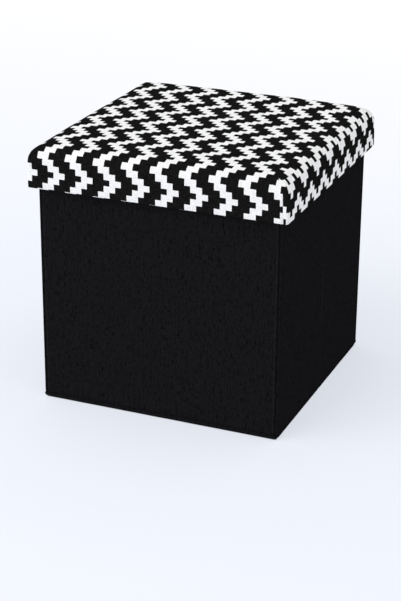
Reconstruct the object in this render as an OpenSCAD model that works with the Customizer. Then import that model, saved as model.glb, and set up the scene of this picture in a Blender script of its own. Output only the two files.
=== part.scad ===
// Folding storage ottoman: a box of board-stiffened walls on cloth hinges, a hinged base flap
// and a padded cap lid that lifts off.
// Millimetres. +Z is up, the front wall faces -Y, and the origin is on the floor under the middle.

/* [Body] */
// Outer width of the box, along X
body_w = 356; // [356:2:420]
// Outer depth of the box, along Y, never more than the width, so the two creases don't meet
body_d = 356; // [330:2:356]
// Height of the walls' top edge above the floor
wall_top = 350; // [350:2:420]

/* [Wall layers] */
// Thickness of the stiffening board in each wall
board_t = 5; // [3:0.5:6]
// Thickness of the outer fabric
cover_t = 1.2; // [0.8:0.2:1.6]
// Thickness of the inner lining cloth
lining_t = 0.8; // [0.4:0.2:1.2]
// Height of the soft hem under each wall
hem_h = 6.5; // [6:0.5:9]
// Height of the binding tape along each wall's top edge
binding_h = 2; // [1:0.5:4]

/* [Fold] */
// Distance from an end wall's inner face to the pivot line of the side wall hinged to it
pivot_set = 7.5; // [7:0.5:10]
// Gap between an end wall's inner face and the side wall's end
corner_gap = 1.5; // [1:0.5:3]
// Gap between the two halves of a side wall at the crease
crease_gap = 1; // [0.6:0.2:2]

/* [Base flap] */
// Thickness of the board in the base flap
base_board_t = 3; // [2:0.5:3]
// Thickness of the cloth round the base board
base_cover_t = 0.7; // [0.4:0.1:0.7]
// Gap between the base flap and a side wall
base_side_gap = 1.5; // [1:0.5:4]
// Gap between the base flap's free edge and the front wall
base_front_gap = 2; // [1.5:0.5:5]
// Distance of the base flap's hinge line from the back wall's inner face
base_hinge_set = 2; // [2:0.5:3]
// Width of the ribbon tab that lifts the flap
tab_w = 25; // [15:1:40]
// Length of the ribbon tab
tab_l = 45; // [30:1:60]

/* [Lid] */
// How far the lid's side stands out past the wall below it
lid_overhang = 12; // [12:1:20]
// Height of the lid's lower edge above the floor
lid_bottom = 320; // [310:1:330]
// Height of the cushioned top above the walls' top edge
lid_rise = 30; // [30:1:50]
// Radius of the cushion's rolled top edges
roll_r = 20; // [12:1:20]
// Radius of the lid's upright corners
lid_corner_r = 10; // [6:1:12]
// Thickness of the printed cover with its thin wadding
lid_cover_t = 1.5; // [1:0.5:2]
// Thickness of the lid's top board and of its side rails
lid_board_t = 5; // [4:0.5:6]
// Staples along each side of the lid's underside
staples_per_side = 7; // [5:1:11]

/* [Hidden] */
$fn = 64;

// Walls: u runs along a wall, v runs inwards from its outer face.
wall_t = cover_t + board_t + lining_t;
end_half = body_w / 2;
side_end = body_d / 2 - wall_t - corner_gap;
crease_half = crease_gap / 2;
layer_top = wall_top - binding_h;
inner_half_w = body_w / 2 - wall_t;
inner_half_d = body_d / 2 - wall_t;

// Base flap
base_t = base_board_t + 2 * base_cover_t;
base_half_w = inner_half_w - base_side_gap;
base_back = inner_half_d - base_hinge_set - 0.3;
base_front = -inner_half_d + base_front_gap;
tape_t = 0.8;
tape_w = 20;
tape_half_w = base_half_w - 10;
tab_t = 1.2;
tab_from_edge = 6;

// Lid
lid_w = body_w + 2 * lid_overhang;
lid_d = body_d + 2 * lid_overhang;
lid_top = wall_top + lid_rise;
core_w = lid_w - 2 * lid_cover_t;
core_d = lid_d - 2 * lid_cover_t;
core_corner_r = lid_corner_r - lid_cover_t;
staple_crown = [10, 1.2, 0.6];
staple_leg = 4;
staple_inset = 25;
lid_lining_z = wall_top + 0.3 + staple_crown[2];
lid_board_z = lid_lining_z + lining_t;
foam_z = lid_board_z + lid_board_t;
rail_z = lid_bottom + 1.2;
return_t = 1.2;
return_top = lid_bottom + 14;

black = [0.04, 0.04, 0.045];
charcoal = [0.16, 0.16, 0.17];
fibreboard = [0.55, 0.42, 0.28];
cream = [0.93, 0.9, 0.8];
print_grey = [0.55, 0.55, 0.55];
steel = [0.7, 0.7, 0.72];

module on_front() translate([0, -body_d / 2, 0]) children();
module on_back() translate([0, body_d / 2, 0]) mirror([0, 1, 0]) children();
module on_right() translate([body_w / 2, 0, 0]) rotate(90) children();
module on_left() translate([-body_w / 2, 0, 0]) rotate(-90) children();

module slab(u, v, z)
    translate([u[0], v[0], z[0]])
        cube([u[1] - u[0], v[1] - v[0], z[1] - z[0]]);

// One wall's layers, from its outer face inwards. A side wall's layers all have the same length.
module board(u) color(fibreboard) slab(u, [cover_t, cover_t + board_t], [hem_h, layer_top]);
module side_cover(u) color(black) slab(u, [0, cover_t], [hem_h, layer_top]);
module lining(u) color(charcoal) slab(u, [wall_t - lining_t, wall_t], [hem_h, layer_top]);
module hem(u) color(black) slab(u, [0, wall_t], [0, hem_h]);
module binding(u) color(charcoal) slab(u, [0, wall_t], [layer_top, wall_top]);

// The front and back covers wrap round the wall's two ends.
module end_cover()
    color(black) difference() {
        slab([-end_half, end_half], [0, wall_t], [hem_h, layer_top]);
        slab([-end_half + cover_t, end_half - cover_t], [cover_t, wall_t + 1], [0, wall_top]);
    }

// u ranges of the walls. On the right wall u grows towards the back, on the left one to the front.
end_full = [-end_half, end_half];
end_inner = [-end_half + cover_t, end_half - cover_t];
half_low = [-side_end, -crease_half];
half_high = [crease_half, side_end];

module front_board() on_front() board(end_inner);
module front_cover() on_front() end_cover();
module front_lining() on_front() lining(end_inner);
module front_hem() on_front() hem(end_full);
module front_binding() on_front() binding(end_full);

module back_board() on_back() board(end_inner);
module back_cover() on_back() end_cover();
module back_lining() on_back() lining(end_inner);
module back_hem() on_back() hem(end_full);
module back_binding() on_back() binding(end_full);

module right_front_board() on_right() board(half_low);
module right_front_cover() on_right() side_cover(half_low);
module right_front_lining() on_right() lining(half_low);
module right_front_hem() on_right() hem(half_low);
module right_front_binding() on_right() binding(half_low);

module right_rear_board() on_right() board(half_high);
module right_rear_cover() on_right() side_cover(half_high);
module right_rear_lining() on_right() lining(half_high);
module right_rear_hem() on_right() hem(half_high);
module right_rear_binding() on_right() binding(half_high);

module left_front_board() on_left() board(half_high);
module left_front_cover() on_left() side_cover(half_high);
module left_front_lining() on_left() lining(half_high);
module left_front_hem() on_left() hem(half_high);
module left_front_binding() on_left() binding(half_high);

module left_rear_board() on_left() board(half_low);
module left_rear_cover() on_left() side_cover(half_low);
module left_rear_lining() on_left() lining(half_low);
module left_rear_hem() on_left() hem(half_low);
module left_rear_binding() on_left() binding(half_low);

// Base flap: a board wrapped in cloth, hinged along the foot of the back wall.
module base_board()
    color(fibreboard)
        slab(
            [-base_half_w + base_cover_t, base_half_w - base_cover_t],
            [base_front + base_cover_t, base_back - base_cover_t],
            [base_cover_t, base_cover_t + base_board_t]
        );
module base_cover()
    color(charcoal) difference() {
        slab([-base_half_w, base_half_w], [base_front, base_back], [0, base_t]);
        base_board();
    }
module base_hinge_tape()
    color(black)
        slab([-tape_half_w, tape_half_w], [base_back - tape_w, base_back], [base_t, base_t + tape_t]);
module wall_hinge_tape()
    color(black)
        slab(
            [-tape_half_w, tape_half_w],
            [inner_half_d - tape_t, inner_half_d],
            [hem_h, hem_h + tape_w]
        );
module pull_tab()
    color(black)
        slab(
            [-tab_w / 2, tab_w / 2],
            [base_front + tab_from_edge, base_front + tab_from_edge + tab_l],
            [base_t, base_t + tab_t]
        );

// Lid
module rounded_prism(w, d, r, z) {
    slab([-w / 2 + r, w / 2 - r], [-d / 2, d / 2], z);
    slab([-w / 2, w / 2], [-d / 2 + r, d / 2 - r], z);
    for (sx = [-1, 1], sy = [-1, 1])
        translate([sx * (w / 2 - r), sy * (d / 2 - r), z[0]]) cylinder(h = z[1] - z[0], r = r);
}

// Prism along X whose two top edges are rounded
module arched_prism(w, d, r, z) {
    slab([-w / 2, w / 2], [-d / 2, d / 2], [z[0], z[1] - r]);
    slab([-w / 2, w / 2], [-d / 2 + r, d / 2 - r], z);
    for (sy = [-1, 1])
        translate([-w / 2, sy * (d / 2 - r), z[1] - r]) rotate([0, 90, 0]) cylinder(h = w, r = r);
}

// Cushion block: upright corners of one radius, top edges rolled over at another
module cushion_block(w, d, corner, roll, z)
    intersection() {
        rounded_prism(w, d, corner, z);
        arched_prism(w, d, roll, z);
        rotate(90) arched_prism(d, w, roll, z);
    }

module lid_rail(u, v)
    color(fibreboard) intersection() {
        slab(u, v, [rail_z, lid_board_z]);
        rounded_prism(core_w, core_d, core_corner_r, [rail_z, lid_board_z]);
    }
module lid_front_rail()
    lid_rail([-core_w / 2, core_w / 2], [-core_d / 2, -core_d / 2 + lid_board_t]);
module lid_back_rail()
    lid_rail([-core_w / 2, core_w / 2], [core_d / 2 - lid_board_t, core_d / 2]);
module lid_left_rail()
    lid_rail(
        [-core_w / 2, -core_w / 2 + lid_board_t],
        [-core_d / 2 + lid_board_t, core_d / 2 - lid_board_t]
    );
module lid_right_rail()
    lid_rail(
        [core_w / 2 - lid_board_t, core_w / 2],
        [-core_d / 2 + lid_board_t, core_d / 2 - lid_board_t]
    );

module lid_board()
    color(fibreboard) rounded_prism(core_w, core_d, core_corner_r, [lid_board_z, foam_z]);

module lid_foam()
    color(cream)
        cushion_block(
            core_w, core_d, core_corner_r, roll_r - lid_cover_t, [foam_z, lid_top - lid_cover_t]
        );

// A plain rectangle inside the rails, set in from their inner faces
module inside_rails(inset, z)
    slab(
        [-core_w / 2 + lid_board_t + inset, core_w / 2 - lid_board_t - inset],
        [-core_d / 2 + lid_board_t + inset, core_d / 2 - lid_board_t - inset],
        z
    );

// The cover runs over the foam, down the rails, under them and a little way up inside.
module lid_cover()
    color(print_grey) {
        difference() {
            cushion_block(lid_w, lid_d, lid_corner_r, roll_r, [lid_bottom, lid_top]);
            cushion_block(
                core_w, core_d, core_corner_r, roll_r - lid_cover_t, [rail_z, lid_top - lid_cover_t]
            );
            inside_rails(return_t, [lid_bottom - 1, rail_z + 1]);
        }
        difference() {
            inside_rails(0, [lid_bottom, return_top]);
            inside_rails(return_t, [lid_bottom - 1, return_top + 1]);
        }
    }

// Lining under the lid's board and down the rails, as far as the cover's turned-in edge
module lid_lining()
    color(charcoal) difference() {
        inside_rails(0, [return_top, lid_board_z]);
        inside_rails(lining_t, [return_top - 1, lid_lining_z]);
    }

module staple()
    translate([0, 0, lid_lining_z]) {
        translate([-staple_crown[0] / 2, -staple_crown[1] / 2, -staple_crown[2]]) cube(staple_crown);
        for (side = [-1, 1])
            translate([side * (staple_crown[0] - staple_crown[1]) / 2, 0, 0])
                linear_extrude(staple_leg) square(staple_crown[1], center = true);
    }
module lid_staples()
    color(steel)
        for (side = [0:3], k = [0:staples_per_side - 1])
            rotate(90 * side)
                translate([
                    (k - (staples_per_side - 1) / 2) * (body_w - 4 * staple_inset) / (staples_per_side - 1),
                    -(side % 2 == 0 ? lid_d : lid_w) / 2 + staple_inset,
                    0
                ]) staple();

front_board();
front_cover();
front_lining();
front_hem();
front_binding();
back_board();
back_cover();
back_lining();
back_hem();
back_binding();
right_front_board();
right_front_cover();
right_front_lining();
right_front_hem();
right_front_binding();
right_rear_board();
right_rear_cover();
right_rear_lining();
right_rear_hem();
right_rear_binding();
left_front_board();
left_front_cover();
left_front_lining();
left_front_hem();
left_front_binding();
left_rear_board();
left_rear_cover();
left_rear_lining();
left_rear_hem();
left_rear_binding();
base_board();
base_cover();
base_hinge_tape();
wall_hinge_tape();
pull_tab();
lid_board();
lid_front_rail();
lid_back_rail();
lid_left_rail();
lid_right_rail();
lid_foam();
lid_cover();
lid_lining();
lid_staples();
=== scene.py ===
"""Folding storage ottoman: the looks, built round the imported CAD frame. Metres, +Z up."""
import math

import bpy
import numpy as np
from mathutils import Matrix, Vector


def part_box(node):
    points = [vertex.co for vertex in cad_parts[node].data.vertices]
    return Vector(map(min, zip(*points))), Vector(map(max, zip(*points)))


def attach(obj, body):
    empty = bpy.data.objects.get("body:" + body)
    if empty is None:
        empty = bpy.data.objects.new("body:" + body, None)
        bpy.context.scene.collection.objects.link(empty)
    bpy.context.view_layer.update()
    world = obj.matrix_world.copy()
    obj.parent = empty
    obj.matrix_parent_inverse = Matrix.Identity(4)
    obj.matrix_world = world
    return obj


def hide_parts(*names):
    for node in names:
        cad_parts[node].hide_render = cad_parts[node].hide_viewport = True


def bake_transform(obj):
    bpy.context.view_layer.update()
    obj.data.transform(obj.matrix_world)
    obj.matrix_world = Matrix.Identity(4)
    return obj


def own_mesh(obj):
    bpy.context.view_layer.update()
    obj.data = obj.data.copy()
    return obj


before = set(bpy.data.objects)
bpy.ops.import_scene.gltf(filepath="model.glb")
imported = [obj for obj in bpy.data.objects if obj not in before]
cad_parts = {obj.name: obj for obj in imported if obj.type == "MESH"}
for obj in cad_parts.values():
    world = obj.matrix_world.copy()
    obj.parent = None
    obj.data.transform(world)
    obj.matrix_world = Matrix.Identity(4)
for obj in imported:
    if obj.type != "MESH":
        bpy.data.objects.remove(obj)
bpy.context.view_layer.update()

MM = 0.001
QUARTER = math.pi / 2

# ---- sizes read from the frame

LID_LOW, LID_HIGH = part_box("lid_cover")
LID_HALF = LID_HIGH[0]
RAIL_IN, RAIL_OUT = (p[0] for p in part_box("lid_right_rail"))
WALL_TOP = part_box("front_binding")[1][2]
HEM_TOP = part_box("front_hem")[1][2]
COVER_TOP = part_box("front_cover")[1][2]
WALL_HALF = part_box("front_cover")[1][0]

# How the cloth is cut and sewn
CLOTH_T = 1.0 * MM
LINING_T = 0.35 * MM
TAPE_T = 0.5 * MM
TAPE_WIDTH = 12 * MM
SEAM_INSET = 6.3 * MM
STITCH_PITCH = 3.2 * MM
CREASE_REACH = 1.0 * MM
BINDING_OUT = 0.55 * MM
BINDING_IN = 0.35 * MM
THREAD_LIFT = 0.05 * MM
GUSSET_RECESS = 0.9 * MM
# How far along and how high a hem's lower corners are rounded off
SIDE_HEM_ROUNDING = (5 * MM, 1.3 * MM)
END_HEM_ROUNDING = (7 * MM, 3.2 * MM)
HEM_END_COLUMNS = [k * MM for k in (0, 0.3, 0.8, 1.5, 2.5, 3.6, 5.0, 7.0)]

# The lid's padded shape
ROLL_R = 23 * MM
LID_CORNER_R = 5 * MM
HEM_TURN_R = 1.6 * MM
RETURN_HEIGHT = 14 * MM
SEAM_COLUMNS = (1.15 * MM,) * 4
LID_CLOTH_T = 0.6 * MM
LEAN = 0.7 * MM
SIDE_HALF = LID_HALF - 0.6 * MM
LOW_HALF = RAIL_OUT + 1.0 * MM
LOW_DROP = 0.8 * MM
PAD_INSET = 1.8 * MM
REAR_LIFT = 3.2 * MM
CROWN_MIDDLE, CROWN_EDGES, CROWN_SUNK = 0.4 * MM, 2.2 * MM, 1.4 * MM
SEAM_PULL, SEAM_WIDTH = 1.2 * MM, 1.3 * MM
PUCKER, PUCKER_PITCH, PUCKER_REACH = 0.2 * MM, 7.5 * MM, 9 * MM
COVER_CLOTH = {
    "quality": 8, "mass": 0.25, "tension_stiffness": 25, "compression_stiffness": 25,
    "shear_stiffness": 12, "bending_stiffness": 0.6,
}
PUFF, PUFF_LIMIT = 4.0, 0.8 * MM
UNEVEN = 0.35 * MM
PRINT_DRAWN_SIDE = 2.3 * MM
PRINT_DRAWN_FORWARD = 10.5 * MM

# The print: square blocks in bands that step one block sideways at each row
PRINT_BLOCK_X = 8.39 * MM
PRINT_BLOCK_Y = 8.70 * MM
PRINT_ACROSS = 5
PRINT_WHITE = 2
PRINT_ROWS = 6
PRINT_SHIFT_X = 0.487
PRINT_SHIFT_Y = 4.513
PRINT_TURN = 0.0082

# The stage
FLOOR_REACH = 12.0
FLOOR_GAP = 0.3 * MM
FLOOR_NEAR, FLOOR_FAR = 0.3, 2.2
FLOOR_GLOW = 0.62
GLOW_FROM, GLOW_FULL = WALL_HALF - 4 * MM, WALL_HALF - 1 * MM
WORLD_LIGHT = 0.9
KEY_PLACE, KEY_SIZE, KEY_POWER = (-1.6, -2.2, 2.4), 3.0, 48
LIGHT_TARGET = (0, 0, 0.2)

# The eye: where it stands, and how it is turned and tilted
EYE_PLACE = (0.8617, -2.1135, 1.0594)
EYE_AZIMUTH, EYE_ELEVATION, EYE_TILT = 0.3911, 0.3939, 0.0074
LENS, SENSOR = 100.47, 36


# ---- small helpers

def clamp01(x):
    return np.clip(x, 0.0, 1.0)


def smooth(x):
    x = clamp01(x)
    return x * x * (3 - 2 * x)


def dent(x, width):
    """1 at x = 0, falling smoothly to 0 within a few widths."""
    return np.exp(-((x / width) ** 2))


def ripple(a, b, wavelength, seed, count=7):
    """Gentle unevenness between about -1 and 1: a few sine waves in seeded directions."""
    rng = np.random.default_rng(seed)
    total = np.zeros(np.broadcast(a, b).shape)
    for _ in range(count):
        heading, phase = rng.uniform(0, 2 * math.pi, 2)
        k = 2 * math.pi / (wavelength * rng.uniform(0.6, 1.7))
        total = total + np.sin(k * (a * math.cos(heading) + b * math.sin(heading)) + phase)
    return total / math.sqrt(count) / 1.4


def link(thing):
    bpy.context.scene.collection.objects.link(thing)


def level(across, height):
    """Points (across, height) at one height."""
    return np.stack([across, np.full(len(across), height)], axis=1)


def corners_of(node):
    return (Vector(p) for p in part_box(node))


def grid_faces(rows, cols):
    r, c = np.meshgrid(np.arange(rows - 1), np.arange(cols - 1), indexing="ij")
    a = (r * cols + c).ravel()
    return np.stack([a, a + 1, a + cols + 1, a + cols], axis=1)


def add_mesh(name, points, faces, material, uv=None):
    """A smooth-shaded piece. uv holds one cloth coordinate for each corner of each face."""
    mesh = bpy.data.meshes.new(name)
    mesh.from_pydata(np.asarray(points).tolist(), [], [[int(k) for k in face] for face in faces])
    if uv is not None:
        layer = mesh.uv_layers.new(name="cloth")
        layer.data.foreach_set("uv", np.asarray(uv, np.float32).ravel())
    mesh.polygons.foreach_set("use_smooth", np.ones(len(mesh.polygons), bool))
    mesh.materials.append(material)
    piece = bpy.data.objects.new(name, mesh)
    link(piece)
    return piece


def add_surface(name, points, uv, material):
    """A piece from a grid of points, rows x columns x 3, with a cloth coordinate at each."""
    rows, cols = points.shape[:2]
    faces = grid_faces(rows, cols)
    corners = uv.reshape(-1, 2)[faces].reshape(-1, 2)
    return add_mesh(name, points.reshape(-1, 3), faces, material, corners)


def set_numbers(piece, name, values):
    """A number for each point, which a material can read."""
    attribute = piece.data.attributes.new(name, "FLOAT", "POINT")
    attribute.data.foreach_set("value", np.asarray(values, np.float32).ravel())


def thicken(piece, thickness):
    solid = piece.modifiers.new("cloth thickness", "SOLIDIFY")
    solid.thickness = thickness
    solid.offset = -1
    return piece


def spaced(start, end, step, fine=(), reach=0.0, fine_step=0.2 * MM):
    """Positions from start to end, about step apart, and fine_step apart within reach of each fine one."""
    plain = np.linspace(start, end, max(2, int(math.ceil(abs(end - start) / step)) + 1))
    keep = np.ones(len(plain), bool)
    extra = []
    for centre in fine:
        near = np.arange(-reach, reach + fine_step / 2, fine_step) + centre
        near = near[(near > min(start, end)) & (near < max(start, end))]
        keep[1:-1] &= np.abs(plain[1:-1] - centre) > reach + fine_step
        extra.append(near)
    found = np.concatenate([plain[keep], *extra])
    return np.sort(found) if end > start else -np.sort(-found)


def arc(centre, radius, first, last, steps=5):
    angles = np.linspace(first, last, steps + 1)
    return np.stack([centre[0] + radius * np.cos(angles), centre[1] + radius * np.sin(angles)], axis=1)


def run_length(path):
    return np.concatenate([[0], np.cumsum(np.linalg.norm(np.diff(path, axis=0), axis=1))])


# ---- materials

class Shader:
    """Short calls for a material's node tree."""

    def __init__(self, name, roughness=0.9, specular=0.3):
        self.material = bpy.data.materials.new(name)
        self.material.use_nodes = True
        self.tree = self.material.node_tree
        self.surface = self.tree.nodes["Principled BSDF"]
        self.surface.inputs["Roughness"].default_value = roughness
        self.surface.inputs["Specular IOR Level"].default_value = specular

    def put(self, socket, value):
        if isinstance(value, bpy.types.NodeSocket):
            self.tree.links.new(value, socket)
        else:
            socket.default_value = value

    def node(self, kind, inputs, **settings):
        made = self.tree.nodes.new(kind)
        for key, value in settings.items():
            setattr(made, key, value)
        for key, value in inputs.items():
            self.put(made.inputs[key], value)
        return made

    def math(self, operation, a, b=0.0):
        return self.node("ShaderNodeMath", {0: a, 1: b}, operation=operation).outputs[0]

    def plus(self, a, b):
        return self.math("ADD", a, b)

    def minus(self, a, b):
        return self.math("SUBTRACT", a, b)

    def times(self, a, b):
        return self.math("MULTIPLY", a, b)

    def over(self, a, b):
        return self.math("DIVIDE", a, b)

    def blend(self, share, a, b):
        """a where share is 0, b where it is 1. Numbers or sockets."""
        return self.node("ShaderNodeMix", {0: share, 2: a, 3: b}, data_type="FLOAT").outputs[0]

    def colour(self, share, a, b):
        made = self.node("ShaderNodeMix", {0: share, 6: (*a, 1), 7: (*b, 1)}, data_type="RGBA")
        return made.outputs[2]

    def mix_colours(self, share, a, b):
        return self.node("ShaderNodeMix", {0: share, 6: a, 7: b}, data_type="RGBA").outputs[2]

    def cloth(self):
        """The two cloth coordinates, in metres."""
        uv = self.node("ShaderNodeUVMap", {}, uv_map="cloth").outputs[0]
        parts = self.node("ShaderNodeSeparateXYZ", {0: uv})
        return parts.outputs[0], parts.outputs[1]

    def noise(self, u, v, size_u, size_v, detail=2.0, w=0.0):
        at = self.node(
            "ShaderNodeCombineXYZ",
            {0: self.over(u, size_u), 1: self.over(v, size_v), 2: w},
        ).outputs[0]
        return self.node(
            "ShaderNodeTexNoise", {"Vector": at, "Scale": 1.0, "Detail": detail, "Roughness": 0.6}
        ).outputs[0]

    def stretch(self, value, low, high):
        """value from low to high, as 0 to 1."""
        return self.node("ShaderNodeMapRange", {0: value, 1: low, 2: high, 3: 0.0, 4: 1.0}).outputs[0]

    def paint(self, tone, dark, light):
        self.put(self.surface.inputs["Base Color"], self.colour(tone, dark, light))

    def place(self):
        """Where a point is in its own piece."""
        return self.node("ShaderNodeTexCoord", {}).outputs["Object"]

    def grain(self, place, scale, detail):
        inputs = {"Vector": place, "Scale": scale, "Detail": detail}
        return self.node("ShaderNodeTexNoise", inputs).outputs[0]

    def bump(self, height, depth, strength=0.6):
        normal = self.node("ShaderNodeBump", {"Strength": strength, "Distance": depth, "Height": height})
        self.put(self.surface.inputs["Normal"], normal.outputs[0])


def plain_weave(s, u, v, pitch):
    """Height of a plain weave, 0 to 1: each yarn arches over every other one that it crosses."""
    a = s.over(u, pitch)
    b = s.over(v, pitch)
    across = s.math("ABSOLUTE", s.math("SINE", s.times(a, math.pi)))
    along = s.math("ABSOLUTE", s.math("SINE", s.times(b, math.pi)))
    cell = s.plus(s.math("FLOOR", a), s.math("FLOOR", b))
    odd = s.math("FLOORED_MODULO", cell, 2.0)
    both = s.times(across, along)
    warp = s.blend(0.45, across, both)
    weft = s.blend(0.45, along, both)
    return s.blend(odd, warp, weft)


def slubs(s, u, v, pitch, run):
    """Yarns that are thicker and lighter for a stretch: (those that run along v, those along u)."""
    warp = s.noise(u, v, pitch, run, w=3.0)
    weft = s.noise(u, v, run, pitch, w=11.0)
    return warp, weft


def body_linen():
    """Black linen-look cloth: its upright yarns show most."""
    s = Shader("body_linen", roughness=0.9, specular=0.0)
    u, v = s.cloth()
    weave = plain_weave(s, u, v, 0.75 * MM)
    warp, weft = slubs(s, u, v, 1.3 * MM, 8 * MM)
    streak = s.noise(u, v, 1.6 * MM, 40 * MM, w=17.0)
    tone = s.plus(s.times(warp, 0.5), s.times(weft, 0.3))
    tone = s.plus(tone, s.times(streak, 0.3))
    tone = s.blend(0.3, s.stretch(tone, 0.44, 0.56), weave)
    cloth_colour = s.colour(tone, (0.0011, 0.0010, 0.0012), (0.0112, 0.0110, 0.0126))
    # Painted highlight and painted shade: the cloth's colour is scaled up on the ridges by seams and
    # corners, and down in creases and valleys, by numbers that the walls set.
    seam_highlight_and_shade = s.node("ShaderNodeAttribute", {}, attribute_name="seam_highlight_and_shade").outputs["Fac"]
    lighter = s.node("ShaderNodeVectorMath", {0: cloth_colour}, operation="SCALE")
    s.put(lighter.inputs["Scale"], s.plus(seam_highlight_and_shade, 1.0))
    s.put(s.surface.inputs["Base Color"], lighter.outputs[0])
    s.bump(s.plus(s.times(weave, 0.6), s.times(warp, 0.8)), 0.35 * MM)
    return s.material


def printed_linen():
    """Cloth with bands of white blocks that step sideways and back, three blocks each way."""
    s = Shader("printed_linen", roughness=0.9, specular=0.0)
    u, v = s.cloth()
    weave = plain_weave(s, u, v, 0.7 * MM)
    warp, weft = slubs(s, u, v, 1.3 * MM, 7 * MM)
    wobble_u = s.minus(s.noise(u, v, 2.2 * MM, 2.2 * MM, w=5.0), 0.5)
    wobble_v = s.minus(s.noise(u, v, 2.2 * MM, 2.2 * MM, w=29.0), 0.5)
    turned_u = s.minus(u, s.times(v, PRINT_TURN))
    turned_v = s.plus(v, s.times(u, PRINT_TURN))
    i = s.plus(s.over(turned_u, PRINT_BLOCK_X), PRINT_SHIFT_X)
    j = s.plus(s.over(turned_v, PRINT_BLOCK_Y), PRINT_SHIFT_Y)
    i = s.plus(i, s.times(wobble_u, 0.10))
    j = s.plus(j, s.times(wobble_v, 0.10))
    half = PRINT_ROWS / 2
    row = s.math("FLOORED_MODULO", s.plus(s.math("FLOOR", j), half), float(PRINT_ROWS))
    step = s.math("ABSOLUTE", s.minus(row, half))
    across = s.math("FLOORED_MODULO", s.minus(i, step), float(PRINT_ACROSS))
    white = s.math("LESS_THAN", across, float(PRINT_WHITE))
    tone = s.plus(s.times(warp, 0.5), s.times(weft, 0.5))
    tone = s.blend(0.3, s.stretch(tone, 0.4, 0.6), weave)
    dark = s.colour(tone, (0.0024, 0.0024, 0.0025), (0.0135, 0.0134, 0.0131))
    light = s.colour(tone, (0.74, 0.74, 0.745), (0.96, 0.96, 0.96))
    s.put(s.surface.inputs["Base Color"], s.mix_colours(white, dark, light))
    s.bump(s.plus(weave, s.times(warp, 0.5)), 0.3 * MM, 0.5)
    return s.material


def lining_cloth():
    """Thin black non-woven cloth with a fine embossed diamond grid."""
    s = Shader("lining_cloth", roughness=0.85, specular=0.08)
    u, v = s.cloth()
    a = s.math("SINE", s.times(s.plus(u, v), math.pi / (1.1 * MM)))
    b = s.math("SINE", s.times(s.minus(u, v), math.pi / (1.1 * MM)))
    grid = s.math("ABSOLUTE", s.times(a, b))
    fibre = s.noise(u, v, 3 * MM, 3 * MM, detail=5.0)
    tone = s.blend(0.35, s.stretch(fibre, 0.35, 0.65), grid)
    s.paint(tone, (0.006, 0.006, 0.0065), (0.022, 0.022, 0.024))
    s.bump(s.plus(grid, s.times(fibre, 0.5)), 0.15 * MM)
    return s.material


def binding_tape():
    """Black twill tape: fine slanting ribs."""
    s = Shader("binding_tape", roughness=0.8, specular=0.08)
    u, v = s.cloth()
    slant = s.math("SINE", s.times(s.plus(u, v), 2 * math.pi / (0.9 * MM)))
    rib = s.stretch(slant, -1.0, 1.0)
    fuzz = s.noise(u, v, 1.5 * MM, 6 * MM)
    tone = s.blend(0.5, rib, fuzz)
    s.paint(tone, (0.003, 0.003, 0.0034), (0.014, 0.014, 0.0155))
    s.bump(rib, 0.2 * MM)
    return s.material


def thread():
    s = Shader("black_thread", roughness=0.6, specular=0.2)
    place = s.place()
    parts = s.node("ShaderNodeSeparateXYZ", {0: place})
    twist = s.math("SINE", s.times(s.plus(parts.outputs[2], parts.outputs[0]), 9000.0))
    tone = s.stretch(twist, -1.0, 1.0)
    s.paint(tone, (0.006, 0.006, 0.007), (0.03, 0.03, 0.032))
    s.bump(tone, 0.1 * MM)
    return s.material


def fibreboard():
    s = Shader("fibreboard", roughness=0.8, specular=0.3)
    place = s.place()
    fibres = s.grain(place, 420.0, 6.0)
    broad = s.grain(place, 25.0, 3.0)
    tone = s.stretch(s.blend(0.3, fibres, broad), 0.35, 0.65)
    s.paint(tone, (0.22, 0.14, 0.075), (0.45, 0.32, 0.19))
    s.bump(fibres, 0.2 * MM, 0.4)
    return s.material


def foam():
    s = Shader("foam", roughness=0.95, specular=0.2)
    place = s.place()
    cells = s.node("ShaderNodeTexVoronoi", {"Vector": place, "Scale": 900.0}).outputs["Distance"]
    broad = s.grain(place, 30.0, 4.0)
    tone = s.blend(0.4, s.stretch(cells, 0.0, 0.7), broad)
    s.paint(tone, (0.55, 0.48, 0.33), (0.85, 0.80, 0.66))
    s.bump(cells, 0.4 * MM)
    return s.material


def staple_steel():
    s = Shader("staple_steel", roughness=0.32, specular=0.5)
    s.surface.inputs["Metallic"].default_value = 1.0
    place = s.place()
    drawn = s.grain(place, 1500.0, 3.0)
    s.paint(drawn, (0.42, 0.42, 0.43), (0.72, 0.72, 0.73))
    s.put(s.surface.inputs["Roughness"], s.blend(drawn, 0.25, 0.45))
    return s.material


# ---- stitching

def add_stitches(name, rows, material):
    """Rows of short threads on a surface. A row is (points, outward directions): one stitch a point."""
    girth = 0.24 * MM
    ring = [(girth * math.cos(t), girth * math.sin(t)) for t in (0, QUARTER, 2 * QUARTER, 3 * QUARTER)]
    long = 0.36 * STITCH_PITCH
    shape = [(-long, 0, 0)]
    shape += [(-0.55 * long, y, z) for y, z in ring] + [(0.55 * long, y, z) for y, z in ring]
    shape = np.array(shape + [(long, 0, 0)])
    faces = [(0, 1 + (k + 1) % 4, 1 + k) for k in range(4)]
    faces += [(1 + k, 1 + (k + 1) % 4, 5 + (k + 1) % 4, 5 + k) for k in range(4)]
    faces += [(5 + k, 5 + (k + 1) % 4, 9) for k in range(4)]
    points, all_faces = [], []
    for places, outward in rows:
        along = np.gradient(places, axis=0)
        along /= np.linalg.norm(along, axis=1)[:, None]
        side = np.cross(outward, along)
        for place, a, b, c in zip(places, along, side, outward):
            start = len(points) * len(shape)
            points.append(place + shape[:, :1] * a + shape[:, 1:2] * b + shape[:, 2:] * c)
            all_faces += [[start + k for k in face] for face in faces]
    return add_mesh(name, np.concatenate(points), all_faces, material)


def stitch_places(start, end):
    """Stitch centres along a straight row."""
    start, end = np.asarray(start, float), np.asarray(end, float)
    count = int(np.linalg.norm(end - start) / STITCH_PITCH)
    return start + (end - start) * ((np.arange(count) + 0.5) / count)[:, None]


# ---- walls

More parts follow.
